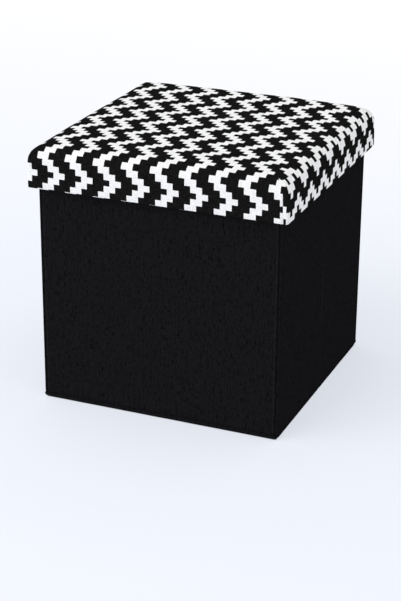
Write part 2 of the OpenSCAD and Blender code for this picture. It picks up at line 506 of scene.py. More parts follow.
class Wall:
    """One wall, in its own terms: u to the right and out towards the viewer, seen from outside."""

    def __init__(self, name, turn, cover, lining):
        self.name = name
        self.folds = name in ("right", "left")
        angle = math.radians(turn)
        self.right = np.array([math.cos(angle), math.sin(angle), 0.0])
        self.outward = np.array([math.sin(angle), -math.cos(angle), 0.0])
        low, high = (np.array(p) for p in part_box(cover))
        self.face = max(low @ self.outward, high @ self.outward)
        self.end = max(abs(low @ self.right), abs(high @ self.right))
        self.wrap = self.end + (0.55 * MM if self.folds else 0.0)
        inner = [np.array(p) @ self.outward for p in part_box(lining)]
        self.inner = min(inner)
        self.seed = int(turn) + 7

    def at(self, u, out, z):
        """World points for arrays of u, out and z."""
        u, out, z = np.broadcast_arrays(u, out, z)
        points = u[..., None] * self.right + out[..., None] * self.outward
        points[..., 2] += z
        return points

    def swell(self, u, z):
        """How far the stretched cloth stands off the board."""
        return 0.12 * MM + 0.1 * MM * ripple(u, z, 90 * MM, self.seed)


END_WALLS = [
    Wall("front", 0, "front_cover", "front_lining"),
    Wall("back", 180, "back_cover", "back_lining"),
]
SIDE_WALLS = [
    Wall("right", 90, "right_front_cover", "right_front_lining"),
    Wall("left", 270, "left_front_cover", "left_front_lining"),
]
# Seen from outside, the half to the left of the crease and the half to the right of it
HALVES = {"right": ("right_front", "right_rear"), "left": ("left_rear", "left_front")}


def body_name(wall):
    return f"{wall.name}_wall"


def ride_or_bend(piece, wall):
    """A piece of an end wall rides on it. A piece of a side wall only has its place baked into its points.
    """
    if wall.folds:
        reach = CREASE_REACH
        start, end = wall.at(np.array([-reach, reach]), wall.face, 0.2)
        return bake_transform(piece)
    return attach(piece, body_name(wall))


def seams(wall):
    """Where the wall has an upright line of stitching: beside the corners, or along the crease."""
    if wall.folds:
        return [0.0]
    return [-wall.end + SEAM_INSET, wall.end - SEAM_INSET]


def replaced(wall, layer):
    if wall.folds:
        return [f"{half}_{layer}" for half in HALVES[wall.name]]
    return [f"{wall.name}_{layer}"]


def seam_depth(wall):
    return 1.1 * MM if wall.folds else 0.45 * MM


def face_out(wall, u, z):
    """The outer cloth's surface, with its stitched lines drawn in."""
    out = wall.face + wall.swell(u, z)
    for seam in seams(wall):
        out = out - seam_depth(wall) * dent(u - seam, 0.8 * MM)
        if not wall.folds:
            valley = seam + math.copysign(SEAM_INSET / 2, seam)
            out = out - 0.35 * MM * dent(u - valley, 1.3 * MM)
    return out


def painted_seam_shading(wall, u):
    """Painted highlight and painted shade: lighter on the ridges beside a crease, along a corner seam and
    at a corner's edge; darker down the crease and in the valley between a corner seam and its corner.
    """
    shade = np.zeros_like(u)
    for seam in seams(wall):
        if wall.folds:
            shade += 0.45 * dent(np.abs(u - seam) - 1.6 * MM, 0.9 * MM) - 0.5 * dent(u - seam, 0.7 * MM)
        else:
            shade += 0.35 * dent(u - seam, 0.9 * MM)
            shade -= 0.5 * dent(u - seam - math.copysign(SEAM_INSET / 2, seam), 1.5 * MM)
            shade += 0.3 * dent(u - math.copysign(wall.end, seam), 1.2 * MM)
    return shade


def fine_near(end, corner_r):
    """Extra columns for the valley between a seam and its corner."""
    return np.arange(end - SEAM_INSET + 2.8 * MM, end - corner_r, 0.5 * MM)


def swept_up(path, low, high, rows):
    """A wall's cross-section (u, out) carried from low to high: (u, out, z, cloth coordinates)."""
    heights = np.linspace(low, high, rows)
    u, z = np.meshgrid(path[:, 0], heights)
    out = np.tile(path[:, 1], (len(heights), 1))
    run = run_length(path) - run_length(path)[-1] / 2
    return u, out, z, np.stack(np.meshgrid(run, heights), axis=-1)


def wall_cover(wall, material):
    """Outer cloth: from inside one end, round it, across the face and round the other end."""
    corner_r = 2.0 * MM
    edge_r = 0.7 * MM
    lap = 3.5 * MM
    end, face, inner = wall.wrap, wall.face, wall.inner
    left_edge = arc((-end + edge_r, inner + edge_r), edge_r, -QUARTER, -2 * QUARTER, 3)
    right_edge = arc((end - edge_r, inner + edge_r), edge_r, 0, -QUARTER, 3)
    left_turn = arc((-end + corner_r, face - corner_r), corner_r, math.pi, QUARTER)
    right_turn = arc((end - corner_r, face - corner_r), corner_r, QUARTER, 0)
    columns = spaced(-end + corner_r, end - corner_r, 6 * MM, seams(wall), 2.4 * MM)
    columns = np.unique(np.concatenate([columns, *(fine_near(end, corner_r) * side for side in (-1, 1))]))
    straight = level(columns, face)[1:-1]
    path = np.concatenate([
        [(-end + lap, inner)], left_edge, left_turn, straight, right_turn, right_edge, [(end - lap, inner)],
    ])
    u, out, z, uv = swept_up(path, HEM_TOP, COVER_TOP, 60)
    on_face = out > face - 1e-6
    out = np.where(on_face, face_out(wall, u, z), out)
    piece = add_surface(f"{wall.name}_cover_cloth", wall.at(u, out, z), uv, material)
    # Painted highlight and painted shade on the outer face, by the seams, crease and corners.
    set_numbers(piece, "seam_highlight_and_shade", np.where(on_face, painted_seam_shading(wall, u), 0))
    thicken(piece, CLOTH_T if wall.end == wall.wrap else 0.5 * MM)
    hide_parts(*replaced(wall, "cover"))
    return ride_or_bend(piece, wall)


def wall_lining(wall, material):
    """Inner cloth. At a side wall's crease it turns down between the two boards to the outer cloth."""
    inset = 3.6 * MM
    top = WALL_TOP - 8 * MM
    surface = wall.inner + 0.3 * MM
    turn_r, depth = 0.6 * MM, wall.face - 1.3 * MM
    if wall.folds:
        right_part = spaced(wall.end - inset, 0.06 * MM + turn_r, 8 * MM)
        across = level(right_part, surface)[:-1]
        corner = arc((0.06 * MM + turn_r, surface + turn_r), turn_r, -QUARTER, -2 * QUARTER, 4)
        down = [(0.06 * MM, depth - 2 * MM), (0.05 * MM, depth)]
        right_part = np.concatenate([across, corner, down])
        path = np.concatenate([right_part, right_part[::-1] * [-1, 1]])
    else:
        path = level(spaced(wall.end - inset, -wall.end + inset, 8 * MM), surface)
    u, out, z, uv = swept_up(path, HEM_TOP, top, 44)
    flat = (out < surface + 1e-6) & (np.abs(u) > 2 * MM)
    out = out - 0.15 * MM * (1 + ripple(u, z, 70 * MM, wall.seed + 3)) * flat
    piece = add_surface(f"{wall.name}_lining_cloth", wall.at(u, out, z), uv, material)
    thicken(piece, LINING_T)
    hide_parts(*replaced(wall, "lining"))
    if wall.folds:
        reach = 0.04 * MM
        start, end = wall.at(np.array([-reach, reach]), wall.face, 0.2)
        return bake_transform(piece)
    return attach(piece, body_name(wall))


def wall_binding(wall, material):
    """Tape folded over the wall's top edge and stitched through."""
    radius = 2.2 * MM
    outer = wall.face + BINDING_OUT
    inner = wall.inner - BINDING_IN
    low = WALL_TOP - TAPE_WIDTH
    section = np.concatenate([
        [(outer, low), (outer, low + 3 * MM), (outer, low + 6 * MM)],
        arc((outer - radius, WALL_TOP - radius), radius, 0, QUARTER),
        arc((inner + radius, WALL_TOP - radius), radius, QUARTER, math.pi),
        [(inner, low + 6 * MM), (inner, low + 3 * MM), (inner, low)],
    ])
    columns = spaced(-wall.wrap, wall.wrap, 6 * MM, seams(wall), 2.4 * MM)
    u, out = np.meshgrid(columns, section[:, 0])
    z = np.tile(section[:, 1][:, None], (1, len(columns)))
    z = z + 0.25 * MM * ripple(u, np.zeros_like(u), 60 * MM, wall.seed + 5) * (z < WALL_TOP - 9 * MM)
    middle = (outer + inner) / 2
    for end, side in ((0, -1), (-1, 1)):
        shut_out = middle + (out[:, [end]] - middle) * 0.12
        shut_z = z[:, [end]] - 0.8 * MM * (z[:, [end]] > WALL_TOP - radius)
        shut_u = u[:, [end]] + side * 0.3 * MM
        where = 0 if end == 0 else u.shape[1]
        pairs = ((u, shut_u), (out, shut_out), (z, shut_z))
        u, out, z = (np.insert(a, [where], b, axis=1) for a, b in pairs)
    columns = np.concatenate([[columns[0] - 3 * MM], columns, [columns[-1] + 3 * MM]])
    uv = np.stack(np.meshgrid(columns, run_length(section)), axis=-1)
    piece = add_surface(f"{wall.name}_top_binding", wall.at(u, out, z), uv, material)
    thicken(piece, TAPE_T)
    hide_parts(*replaced(wall, "binding"))
    return ride_or_bend(piece, wall)


def hem_section(wall):
    """Cross-section of the turned-under cloth at a wall's foot, as (out, z) points."""
    outer, inner, radius = wall.face, wall.inner, 2.2 * MM
    return np.concatenate([
        [(outer, HEM_TOP), (outer, HEM_TOP - 2 * MM)],
        arc((outer - radius, radius), radius, 0, -QUARTER),
        [((outer + inner) / 2, 0.15 * MM)],
        arc((inner + radius, radius), radius, -QUARTER, -math.pi),
        [(inner, HEM_TOP - 2 * MM), (inner, HEM_TOP)],
    ])


def add_hem(name, wall, start, end, material):
    """The closed soft roll of cloth from u = start to u = end."""
    section = hem_section(wall)
    ends = np.array(HEM_END_COLUMNS)
    columns = np.concatenate([start + ends, spaced(start, end, 6 * MM)[2:-2], end - ends[::-1]])
    reach, height = SIDE_HEM_ROUNDING if wall.folds else END_HEM_ROUNDING
    from_end = np.minimum(columns - start, end - columns)
    near = np.clip(1 - from_end / reach, 0, 1)
    lift = (1 - np.sqrt(1 - near ** 2)) * height
    u = np.tile(columns[:, None], (1, len(section)))
    out = np.tile(section[:, 0], (len(columns), 1))
    z = HEM_TOP - (HEM_TOP - section[:, 1]) * (1 - lift / HEM_TOP)[:, None]
    rise = smooth((HEM_TOP - z) / HEM_TOP)
    on_face = out > wall.face - 1e-6
    out = np.where(on_face, wall.face + wall.swell(u, z), out) - 0.1 * MM * rise
    z = z + 0.12 * MM * rise * (1 + ripple(u, np.zeros_like(u), 50 * MM, wall.seed + 11))
    points = wall.at(u, out, z)
    rows, cols = points.shape[:2]
    faces = grid_faces(rows, cols).tolist()
    faces += [[r * cols, (r + 1) * cols, (r + 2) * cols - 1, (r + 1) * cols - 1] for r in range(rows - 1)]
    faces += [list(range(cols)), list(range(rows * cols - 1, (rows - 1) * cols - 1, -1))]
    around = np.stack([u, HEM_TOP - run_length(section)[None, :] + 0 * u], axis=-1).reshape(-1, 2)
    uv = [around[k] for face in faces for k in face]
    piece = add_mesh(name, points.reshape(-1, 3), faces, material, uv)
    sharp = piece.modifiers.new("sharp rim", "EDGE_SPLIT")
    sharp.split_angle = math.radians(50)
    return piece


def squash_with_fold(piece):
    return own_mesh(piece)


def wall_hems(wall, material):
    if not wall.folds:
        hem = add_hem(f"{wall.name}_foot_hem", wall, -wall.wrap, wall.wrap, material)
        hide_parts(f"{wall.name}_hem")
        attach(hem, body_name(wall))
        if wall.name == "front":
            squash_with_fold(hem)
        return
    gap = 0.5 * MM
    for half, (start, end) in zip(HALVES[wall.name], [(-wall.wrap, -gap), (gap, wall.wrap)]):
        hem = add_hem(f"{half}_foot_hem", wall, start, end, material)
        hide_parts(f"{half}_hem")
        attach(hem, half)
        squash_with_fold(hem)


def wall_stitches(wall, material):
    """The upright seams and the row that holds the top binding on, on both faces."""
    margin = 4 * MM
    upright = []
    for seam in seams(wall):
        z = stitch_places((0, 0, HEM_TOP + margin), (0, 0, WALL_TOP - TAPE_WIDTH))[:, 2]
        u = np.full(len(z), seam)
        out = face_out(wall, u, z) + 0.06 * MM
        upright.append((wall.at(u, out, z), np.tile(wall.outward, (len(z), 1))))
    piece = add_stitches(f"{wall.name}_seam_stitches", upright, material)
    ride_or_bend(piece, wall)
    bound = []
    outer, inner = wall.face + BINDING_OUT + THREAD_LIFT, wall.inner - BINDING_IN - THREAD_LIFT
    for out, way in ((outer, 1), (inner, -1)):
        for start, end in ((-wall.end + margin, -2 * margin), (2 * margin, wall.end - margin)):
            u = stitch_places((start, 0, 0), (end, 0, 0))[:, 0]
            z = np.full(len(u), WALL_TOP - TAPE_WIDTH + 2 * MM)
            bound.append((wall.at(u, out, z), np.tile(way * wall.outward, (len(u), 1))))
    piece = add_stitches(f"{wall.name}_binding_stitches", bound, material)
    ride_or_bend(piece, wall)


def corner_gusset(name, end_wall, side, bodies, material):
    """Pleated strip of cloth that closes the gap between an end wall's edge and a side wall's end.
    side is -1 for the end wall's left edge and 1 for its right one, seen from outside."""
    side_end = SIDE_WALLS[0].end
    columns = np.linspace(end_wall.inner + 0.4 * MM, side_end - 0.4 * MM, 15)
    heights = np.linspace(HEM_TOP, COVER_TOP, 40)
    out, z = np.meshgrid(columns, heights)
    middle = (columns[0] + columns[-1]) / 2
    u = side * (end_wall.end - GUSSET_RECESS - 0.5 * MM * dent(out - middle, 0.5 * MM))
    points = end_wall.at(u, out, z)
    uv = np.stack([out, z], axis=-1)
    if side < 0:
        points, uv = points[:, ::-1], uv[:, ::-1]
    piece = add_surface(name, points, uv, material)
    thicken(piece, 0.6 * MM)
    if len(bodies) == 1:
        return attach(piece, bodies[0])
    ends = end_wall.at(side * end_wall.end, np.array([end_wall.inner, side_end]), 0.2)
    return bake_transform(piece)


def build_walls(linen, lining, tape, black_thread):
    for wall in END_WALLS + SIDE_WALLS:
        wall_cover(wall, linen)
        wall_lining(wall, lining)
        wall_binding(wall, tape)
        wall_hems(wall, linen)
        wall_stitches(wall, black_thread)
    front, back = END_WALLS
    for name, wall, side, bodies in (
        ("front_right", front, 1, ("front_wall", "right_front")),
        ("front_left", front, -1, ("front_wall", "left_front")),
        ("back_right", back, -1, ("back_wall", "right_rear")),
        ("back_left", back, 1, ("back_wall",)),
    ):
        corner_gusset(f"{name}_gusset", wall, side, bodies, linen)


# ---- padded shells

def corner_columns(half, near, plain):
    """Positions from -half to half: about plain apart, with the near steps at both ends."""
    steps = list(near)
    while sum(steps) < 0.3 * half:
        steps.append(min(plain, steps[-1] * 1.45))
    reach = sum(steps)
    middle = np.linspace(-half + reach, half - reach, int(round(2 * (half - reach) / plain)) + 1)
    edge = half - np.concatenate([[0], np.cumsum(steps)[:-1]])
    return np.concatenate([-edge, middle, edge[::-1]])


def ring_side(columns, half_along, half_out, radius, reach=45 * MM):
    """One side of a rounded rectangle, from the middle of one corner to the middle of the next:
    (along, out, run), where run is the distance from the side's middle, measured round the corners."""
    first, last = columns[-1], half_along - radius + radius * math.pi / 4
    knee = first - reach
    size = np.abs(columns)
    run = np.where(size > knee, knee + (size - knee) * (last - knee) / reach, size)
    straight = half_along - radius
    angle = np.maximum(run - straight, 0) / max(radius, 1e-9)
    along = np.minimum(run, straight) + radius * np.sin(angle)
    out = half_out - radius + radius * np.cos(angle)
    way = np.sign(columns)
    return way * along, out, way * run


class Shell:
    """A flat top with rings running down from it: a cushion's or a wrapped board's surface.
    profile lists (step outwards, height, corner radius) for each ring below the top.
    wrapped is how many columns of each side's cloth go on round the corner before the seam."""

    def __init__(self, half_x, half_y, top, profile, near, plain, centre=(0.0, 0.0), wrapped=0):
        self.columns = [corner_columns(half_x, near, plain), corner_columns(half_y, near, plain)]
        self.wrapped = wrapped
        nx, ny = (len(c) - 1 for c in self.columns)
        gx, gy = np.meshgrid(*self.columns)
        grid = np.stack([gx, gy, np.full(gx.shape, top)], axis=-1)
        self.points = [grid.reshape(-1, 3)]
        number = np.arange(gx.size).reshape(gx.shape)
        self.rings = [np.concatenate([
            number[0, :-1], number[:-1, -1], number[-1, :0:-1], number[:0:-1, 0]
        ])]
        self.faces = [[int(k) for k in face] for face in grid_faces(ny + 1, nx + 1)]
        self.uv = [tuple(grid.reshape(-1, 3)[k, :2]) for face in self.faces for k in face]
        corner = np.minimum(half_x - np.abs(gx), half_y - np.abs(gy))
        self.from_seam = [np.full(gx.size, 1.0)]
        self.drop = [-corner.ravel()]
        path = np.array([(0.0, top)] + [(step, z) for step, z, _ in profile])
        runs = run_length(path)
        previous = self.side_runs(half_x, half_y, 0.0, 0.0)
        counts = [nx, ny, nx, ny]
        for level, (step, z, radius) in enumerate(profile):
            start = sum(len(p) for p in self.points)
            ring, sides = [], self.side_runs(half_x, half_y, step, radius)
            for k, (along, out, run) in enumerate(sides):
                turn = k * QUARTER
                x = along * math.cos(turn) + out * math.sin(turn)
                y = along * math.sin(turn) - out * math.cos(turn)
                ring.append(np.stack([x, y, np.full(len(x), z)], axis=-1)[:-1])
                seam = run[len(run) - 1 - wrapped]
                across = np.minimum(np.abs(run - seam), run + 2 * run[-1] - seam)
                self.from_seam.append(across[:-1])
                self.drop.append(np.full(len(x) - 1, runs[level + 1]))
            self.points += ring
            self.rings.append(np.arange(start, start + sum(counts)))
            self.join(sides, previous, runs[level + 1], runs[level], counts, (half_x, half_y))
            previous = sides
        self.centre = centre

    def side_runs(self, half_x, half_y, step, radius):
        halves = [half_x, half_y]
        return [
            ring_side(self.columns[k % 2], halves[k % 2] + step, halves[1 - k % 2] + step, radius)
            for k in range(4)
        ]

    def join(self, sides, previous, drop, drop_before, counts, halves):
        """Faces between the last two rings, with the cloth's own coordinates."""
        outer, inner = self.rings[-1], self.rings[-2]
        k = 0
        for side, count in enumerate(counts):
            here, before = sides[side][2], previous[side][2]
            for c in range(count):
                nxt = (k + 1) % len(outer)
                self.faces.append([int(outer[k]), int(outer[nxt]), int(inner[nxt]), int(inner[k])])
                past_seam = c >= count - self.wrapped
                turn = (side + past_seam) * QUARTER
                base = halves[1 - side % 2]
                lower, upper = (2 * here[-1], 2 * before[-1]) if past_seam else (0, 0)
                corners = [
                    (here[c] - lower, drop), (here[c + 1] - lower, drop),
                    (before[c + 1] - upper, drop_before), (before[c] - upper, drop_before),
                ]
                for run, down in corners:
                    out = base + down
                    self.uv.append((
                        run * math.cos(turn) + out * math.sin(turn),
                        run * math.sin(turn) - out * math.cos(turn),
                    ))
                k += 1

    def close(self, z):
        """A flat face inside the last ring."""
        self.faces.append([int(k) for k in self.rings[-1][::-1]])
        last = np.concatenate(self.points)[self.rings[-1][::-1]]
        self.uv += [(x, y) for x, y, _ in last]

    def build(self, name, material, facing_down=False):
        points = np.concatenate(self.points) + np.array([*self.centre, 0.0])
        faces, uv = self.faces, self.uv
        if facing_down:
            flipped, at = [], 0
            for face in faces:
                flipped += uv[at:at + len(face)][::-1]
                at += len(face)
            faces, uv = [face[::-1] for face in faces], flipped
        piece = add_mesh(name, points, faces, material, uv)
        set_numbers(piece, "from_seam", np.concatenate(self.from_seam))
        set_numbers(piece, "drop", np.concatenate(self.drop))
        return piece


def roll_profile(radius, top, corner_r, steps=7, fullness=2.0):
    """Rings round a rolled edge: a quarter circle down from the top, or a fuller curve above 2."""
    found = []
    for k in range(1, steps + 1):
        angle = QUARTER * k / steps
        step = radius * math.sin(angle) ** (2 / fullness)
        fall = radius * (1 - max(math.cos(angle), 0) ** (2 / fullness))
        found.append((step, top - fall, corner_r * k / steps))
    return found


def lid_profile(top):
    """The lid cover's rings: roll, skirt, the turn under the rail and the part inside it."""
    widest, tucked = SIDE_HALF - LID_FLAT, LOW_HALF - LID_FLAT
    low = LID_LOW[2] - LOW_DROP
    rolled = roll_profile(ROLL_R, top, LID_CORNER_R, steps=8, fullness=2.15)
    found = [(step * widest / ROLL_R, z, corner_r) for step, z, corner_r in rolled]
    skirt_top, skirt_low = top - ROLL_R, low + HEM_TURN_R
    for z in np.linspace(skirt_top, skirt_low, 8)[1:]:
        share = (skirt_top - z) / (skirt_top - skirt_low)
        found.append((widest + (tucked - widest) * share ** 2, z, LID_CORNER_R - 2 * MM * share))
    for k in (1, 2, 3):
        angle = QUARTER * k / 3
        step = tucked - HEM_TURN_R * (1 - math.cos(angle))
        found.append((step, low + HEM_TURN_R * (1 - math.sin(angle)), 3 * MM))
    inner = RAIL_IN - 1.0 * MM - LID_FLAT
    turn = 1.2 * MM
    found.append((inner + turn, low, 3 * MM))
    found.append((inner + 0.3 * turn, low + 0.3 * turn, 2 * MM))
    found.append((inner, low + turn, 2 * MM))
    for z in np.linspace(low + turn, low + RETURN_HEIGHT, 4)[1:]:
        found.append((inner, z, 2 * MM))
    return found


LID_EDGE_TOP = LID_HIGH[2] - 1.0 * MM
LID_FLAT = LID_HALF - ROLL_R
SKIRT_END = ROLL_R * QUARTER + (LID_EDGE_TOP - ROLL_R - LID_LOW[2])


def vertex_array(mesh, key=None):
    """The mesh's points, or one of its number attributes, as an array."""
    if key:
        values = np.zeros(len(mesh.vertices), np.float32)
        mesh.attributes[key].data.foreach_get("value", values)
        return values.astype(float)
    values = np.zeros(len(mesh.vertices) * 3, np.float32)
    mesh.vertices.foreach_get("co", values)
    return values.reshape(-1, 3).astype(float)


def set_points(mesh, points):
    mesh.vertices.foreach_set("co", points.astype(np.float32).ravel())
    mesh.update()


def inflate(piece, pinned, pressure, limit, frames=20):
    """Blows the cloth out from inside for a few frames, and keeps each point within limit of its start."""
    group = piece.vertex_groups.new(name="pinned")
    group.add([int(k) for k in pinned], 1.0, "REPLACE")
    start = vertex_array(piece.data)
    cloth = piece.modifiers.new("Cloth", "CLOTH")
    for key, value in COVER_CLOTH.items():
        setattr(cloth.settings, key, value)
    cloth.settings.use_pressure = True
    cloth.settings.uniform_pressure_force = pressure
    cloth.settings.vertex_group_mass = "pinned"
    cloth.settings.effector_weights.gravity = 0
    cloth.point_cache.frame_start = 1
    cloth.point_cache.frame_end = frames
    scene = bpy.context.scene
    for number in range(1, frames + 1):
        scene.frame_set(number)
    moved = vertex_array(piece.evaluated_get(bpy.context.evaluated_depsgraph_get()).data)
    piece.modifiers.remove(cloth)
    scene.frame_set(1)
    step = moved - start
    outward = np.zeros(start.size, np.float32)
    piece.data.vertex_normals.foreach_get("vector", outward)
    outward = outward.reshape(-1, 3)
    sunk = np.minimum((step * outward).sum(axis=1), 0)
    step -= outward * sunk[:, None]
    size = np.linalg.norm(step, axis=1)
    step *= (limit * np.tanh(size / limit) / np.maximum(size, 1e-9))[:, None]
    set_points(piece.data, start + step)
    piece.vertex_groups.clear()


def apply_subdivision(piece):
    piece.modifiers.new("finer", "SUBSURF").levels = 1
    finer = bpy.data.meshes.new_from_object(piece.evaluated_get(bpy.context.evaluated_depsgraph_get()))
    piece.modifiers.clear()
    old = piece.data
    piece.data = finer
    bpy.data.meshes.remove(old)


def shape_lid_cover(piece):
    """Crown, sewn corner seams with their puckers, slight unevenness, a lean to the left that fades
    towards the lower edge, and a back edge that stands a little higher."""
    mesh = piece.data
    p = vertex_array(mesh)
    from_seam, drop = vertex_array(mesh, "from_seam"), vertex_array(mesh, "drop")
    x, y = p[:, 0] / LID_HALF, p[:, 1] / LID_HALF
    upper = smooth((p[:, 2] - LID_LOW[2] - 20 * MM) / (30 * MM))
    crown = (1 - x ** 2 * y ** 2) * CROWN_EDGES + (1 - x ** 2) * (1 - y ** 2) * CROWN_MIDDLE - CROWN_SUNK
    p[:, 2] += crown * upper
    outward = p * [1, 1, 0]
    outward /= np.maximum(np.linalg.norm(outward, axis=1), 1e-9)[:, None]
    on_side = (drop > 0) & (drop < SKIRT_END + 6 * MM)
    sewn = smooth(drop / (12 * MM)) * on_side
    pucker = np.sin(drop * 2 * math.pi / PUCKER_PITCH) * np.exp(-from_seam / PUCKER_REACH)
    pull = SEAM_PULL * dent(from_seam, SEAM_WIDTH) + PUCKER * pucker
    p -= outward * (pull * sewn)[:, None]
    along, down = x * LID_HALF + y * 0.3 * LID_HALF, p[:, 2] * 2 + y * LID_HALF
    uneven = UNEVEN * ripple(along, down, 55 * MM, 41)
    loose = 1 - smooth((LID_EDGE_TOP - p[:, 2]) / (LID_EDGE_TOP - LID_LOW[2]))
    p += outward * (uneven * (0.4 + 0.6 * loose) * on_side)[:, None]
    seated = 1 - smooth((drop - SKIRT_END) / (6 * MM))
    p[:, 0] -= LEAN * loose * seated
    rear = smooth((p[:, 1] - 95 * MM) / (75 * MM))
    p[:, 2] += REAR_LIFT * rear * upper * (1 - 0.8 * x ** 8)
    p[:, 2] += UNEVEN * ripple(p[:, 0], p[:, 1], 60 * MM, 42) * (drop < 10 * MM)
    set_points(mesh, p)


def draw_cloth_forward(piece):
    """Along the lid's right edge the print was pulled towards the front as the cover was sewn."""
    layer = piece.data.uv_layers["cloth"].data
    uv = np.zeros(len(layer) * 2, np.float32)
    layer.foreach_get("uv", uv)
    u, v = uv[0::2].copy(), uv[1::2].copy()
    share = smooth((u - 105 * MM) / (130 * MM)) * smooth((u - np.abs(v)) / (25 * MM) + 0.2)
    uv[0::2] -= PRINT_DRAWN_SIDE * share
    uv[1::2] += PRINT_DRAWN_FORWARD * share
    layer.foreach_set("uv", uv)


def lid_cover(material):
    shell = Shell(
        LID_FLAT, LID_FLAT, LID_EDGE_TOP, lid_profile(LID_EDGE_TOP),
        near=SEAM_COLUMNS, plain=8 * MM, wrapped=3,
    )
    piece = shell.build("lid_printed_cover", material)
    draw_cloth_forward(piece)
    pinned = np.flatnonzero(vertex_array(piece.data, "drop") > SKIRT_END - 3 * MM)
    inflate(piece, pinned, pressure=PUFF, limit=PUFF_LIMIT)
    apply_subdivision(piece)
    shape_lid_cover(piece)
    thicken(piece, LID_CLOTH_T)
    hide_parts("lid_cover")
    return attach(piece, "lid")


def lid_foam(material):
    low, high = corners_of("lid_foam")
    radius = 27 * MM
    top = high.z - 1.5 * MM
    half = high.x - radius - PAD_INSET
    profile = roll_profile(radius, top, 15 * MM, steps=6)
    profile.append((radius, low.z + 0.3 * MM, 15 * MM))
    shell = Shell(half, half, top, profile, near=(4 * MM,), plain=14 * MM)
    shell.close(low.z)
    piece = shell.build("lid_foam_pad", material)
    p = vertex_array(piece.data)
    p[:, 2] += 0.3 * MM * ripple(p[:, 0], p[:, 1], 50 * MM, 51) * (p[:, 2] > low.z + 5 * MM)
    set_points(piece.data, p)
    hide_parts("lid_foam")
    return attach(piece, "lid")


def lid_lining(material):
    """Cloth over the board's underside and down the rails, as far as the cover's turned-in edge."""
    low, high = corners_of("lid_lining")
    ceiling = high.z - 0.8 * MM
    inside = high.x - 0.9 * MM
    radius = 3 * MM
    profile = roll_profile(radius, ceiling, 3 * MM, steps=4)
    for z in np.linspace(ceiling - radius, low.z - 1 * MM, 4)[1:]:
        profile.append((radius, z, 3 * MM))
    shell = Shell(inside - radius, inside - radius, ceiling, profile, near=(3 * MM,), plain=9 * MM)
    piece = shell.build("lid_lining_cloth", material, facing_down=True)
    p = vertex_array(piece.data)
    flat = p[:, 2] > ceiling - 0.5 * MM
    p[:, 2] += 0.15 * MM * (1 + ripple(p[:, 0], p[:, 1], 45 * MM, 61)) * flat
    set_points(piece.data, p)
    thicken(piece, 0.6 * MM)
    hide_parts("lid_lining")
    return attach(piece, "lid")


# ---- base flap

def base_cover(material):
    """Cloth wrapped round the base board, with a stitched line round its edge."""
    low, high = corners_of("base_cover")
    spill = 1.0 * MM
    low.x, low.y, high.x = low.x - spill, low.y - spill, high.x + spill
    radius = 2.0 * MM
    middle = (low + high) / 2
    corner_r = 1.5 * MM
    profile = roll_profile(radius, high.z, corner_r, steps=4)
    for k in range(1, 5):
        angle = QUARTER * k / 4
        height = low.z + radius * (1 - math.sin(angle))
        profile.append((radius * math.cos(angle), height, corner_r * (1 - k / 8)))
    shell = Shell(
        (high.x - low.x) / 2 - radius, (high.y - low.y) / 2 - radius, high.z, profile,
        near=(2 * MM,), plain=8 * MM, centre=(middle.x, middle.y),
    )
    shell.close(low.z)
    piece = shell.build("base_flap_cover", material)
    p = vertex_array(piece.data)
    edge = -vertex_array(piece.data, "drop")
    top = p[:, 2] > high.z - 0.3 * MM
    p[:, 2] -= (0.35 * MM * dent(edge - 5 * MM, 1.5 * MM)) * top
    p[:, 2] -= 0.12 * MM * (1 + ripple(p[:, 0], p[:, 1], 80 * MM, 71)) * top
    set_points(piece.data, p)
    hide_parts("base_cover")
    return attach(piece, "base_flap")


def add_ribbon(name, across, path, lift, material):
    """A strip of cloth along a path of (y, z) points."""
    x, y = np.meshgrid(across, path[:, 0])
    z = np.tile((path[:, 1] + lift)[:, None], (1, len(across)))
    uv = np.stack(np.meshgrid(across, run_length(path)), axis=-1)
    return add_surface(name, np.stack([x, y, z], axis=-1), uv, material)


def stitches_on_top(name, lines, z, material):
    """Straight rows of stitches, from (x, y) to (x, y), on a surface that faces up."""
    rows = []
    for start, end in lines:
        places = stitch_places((*start, z), (*end, z))
        rows.append((places, np.tile([0.0, 0.0, 1.0], (len(places), 1))))
    piece = add_stitches(name, rows, material)
    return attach(piece, "base_flap")


def base_stitches(material):
    low, high = corners_of("base_cover")
    inset, margin = 5 * MM, 8 * MM
    x0, x1, y0, y1 = low.x + inset, high.x - inset, low.y + inset, high.y - inset
    lines = [((x0 + margin, y), (x1 - margin, y)) for y in (y0, y1)]
    lines += [((x, y0 + margin), (x, y1 - margin)) for x in (x0, x1)]
    return stitches_on_top("base_flap_stitches", lines, high.z - 0.25 * MM, material)


def pull_tab(material, black_thread):
    """Ribbon folded double, its two ends sewn to the flap with a crossed box of stitches."""
    low, high = corners_of("pull_tab")
    lower, upper, bend = low.z + 0.3 * MM, high.z, 0.45 * MM
    far = high.y - bend
    path = np.concatenate([
        level(np.linspace(low.y, far, 14), lower),
        arc((far, (lower + upper) / 2), (upper - lower) / 2, -QUARTER, QUARTER, 6)[1:],
        level(np.linspace(far, low.y, 14), upper)[1:],
    ])
    lift = 0.25 * MM * smooth((path[:, 0] - low.y - 15 * MM) / (25 * MM))
    across = np.linspace(low.x, high.x, 9)
    piece = add_ribbon("pull_tab_ribbon", across, path, lift, material)
    thicken(piece, 0.35 * MM)
    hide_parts("pull_tab")
    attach(piece, "base_flap")
    inset, box_l = 3 * MM, 15 * MM
    x0, x1, y0, y1 = low.x + inset, high.x - inset, low.y + inset, low.y + inset + box_l
    top = upper + THREAD_LIFT
    ends = [
        ((x0, y0), (x1, y0)), ((x0, y1), (x1, y1)), ((x0, y0), (x0, y1)), ((x1, y0), (x1, y1)),
        ((x0, y0), (x1, y1)), ((x0, y1), (x1, y0)),
    ]
    return stitches_on_top("pull_tab_stitches", ends, top, black_thread)


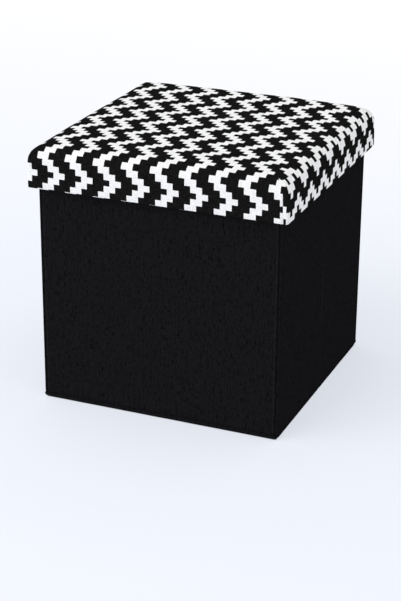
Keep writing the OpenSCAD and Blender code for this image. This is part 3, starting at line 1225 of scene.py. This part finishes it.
def base_hinge(material):
    """One strip of cloth, from the flap's back edge across the hinge line and up the back wall."""
    flap_low, flap_high = corners_of("base_hinge_tape")
    wall_high = Vector(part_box("wall_hinge_tape")[1])
    on_flap, on_wall = flap_low.z + 0.55 * MM, wall_high.y - 0.65 * MM
    bend = 1.6 * MM
    turn = arc((on_wall - bend, on_flap + bend), bend, -QUARTER, 0, 10)
    path = np.concatenate([
        level(np.linspace(flap_low.y, turn[0, 0], 9), on_flap)[:-1],
        turn,
        level(np.linspace(turn[-1, 1], wall_high.z, 9), on_wall)[1:, ::-1],
    ])
    across = np.linspace(flap_high.x, flap_low.x, 41)
    piece = add_ribbon("base_hinge_cloth", across, path, 0.0, material)
    thicken(piece, 0.4 * MM)
    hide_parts("base_hinge_tape", "wall_hinge_tape")
    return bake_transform(piece)


# ---- CAD nodes that stay

def finish_cad_nodes(board, steel):
    """Boards, rails and staples keep their CAD shape and get their real material."""
    for name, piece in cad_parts.items():
        if name.endswith("board") or name.endswith("rail"):
            material = board
        elif name == "lid_staples":
            material = steel
        else:
            continue
        piece.data.materials.clear()
        piece.data.materials.append(material)


# ---- stage, light and camera

def studio():
    """Pale floor that doesn't glow under the box, white surroundings and one large soft lamp."""
    floor = bpy.data.meshes.new("floor")
    corners = [(x * FLOOR_REACH, y * FLOOR_REACH, 0) for x, y in ((-1, -1), (1, -1), (1, 1), (-1, 1))]
    floor.from_pydata(corners, [], [(0, 1, 2, 3)])
    ground = bpy.data.objects.new("floor", floor)
    ground.location.z = -FLOOR_GAP
    link(ground)
    s = Shader("pale_floor", roughness=0.9, specular=0.0)
    place = s.place()
    parts = s.node("ShaderNodeSeparateXYZ", {0: place})
    away = s.stretch(parts.outputs[1], FLOOR_NEAR, FLOOR_FAR)
    s.paint(away, (0.34, 0.35, 0.375), (0.40, 0.40, 0.40))
    s.put(s.surface.inputs["Emission Color"], s.colour(away, (0.86, 0.89, 0.97), (1.0, 1.0, 1.0)))
    aside = s.math("MAXIMUM", *(s.math("ABSOLUTE", parts.outputs[k]) for k in (0, 1)))
    beyond = s.stretch(aside, GLOW_FROM, GLOW_FULL)
    s.put(s.surface.inputs["Emission Strength"], s.times(beyond, FLOOR_GLOW))
    floor.materials.append(s.material)
    world = bpy.data.worlds.new("white studio")
    world.use_nodes = True
    background = world.node_tree.nodes["Background"]
    background.inputs[0].default_value = (1, 1, 1, 1)
    background.inputs[1].default_value = WORLD_LIGHT
    bpy.context.scene.world = world
    soft_box("key light", KEY_PLACE, KEY_SIZE, KEY_POWER)
    bpy.context.scene.view_settings.view_transform = "Standard"


def soft_box(name, place, size, power):
    lamp = bpy.data.lights.new(name, "AREA")
    lamp.size = size
    lamp.energy = power
    holder = bpy.data.objects.new(name, lamp)
    holder.location = place
    aim = Vector(LIGHT_TARGET) - Vector(place)
    holder.rotation_euler = aim.to_track_quat("-Z", "Y").to_euler()
    link(holder)


def camera():
    """Eye a little over two metres off, above and to the right of the front."""
    lens = bpy.data.cameras.new("camera")
    lens.lens = LENS
    lens.sensor_width = SENSOR
    eye = bpy.data.objects.new("camera", lens)
    aimed = Matrix.Rotation(EYE_AZIMUTH, 4, "Z") @ Matrix.Rotation(QUARTER - EYE_ELEVATION, 4, "X")
    tilted = aimed @ Matrix.Rotation(EYE_TILT, 4, "Z")
    eye.matrix_world = Matrix.Translation(EYE_PLACE) @ tilted
    link(eye)
    bpy.context.scene.camera = eye


# ---- build

camera()
studio()
linen, lining, tape, black_thread = body_linen(), lining_cloth(), binding_tape(), thread()
build_walls(linen, lining, tape, black_thread)
base_cover(lining)
base_stitches(black_thread)
pull_tab(tape, black_thread)
base_hinge(tape)
lid_cover(printed_linen())
lid_foam(foam())
lid_lining(lining)
finish_cad_nodes(fibreboard(), staple_steel())
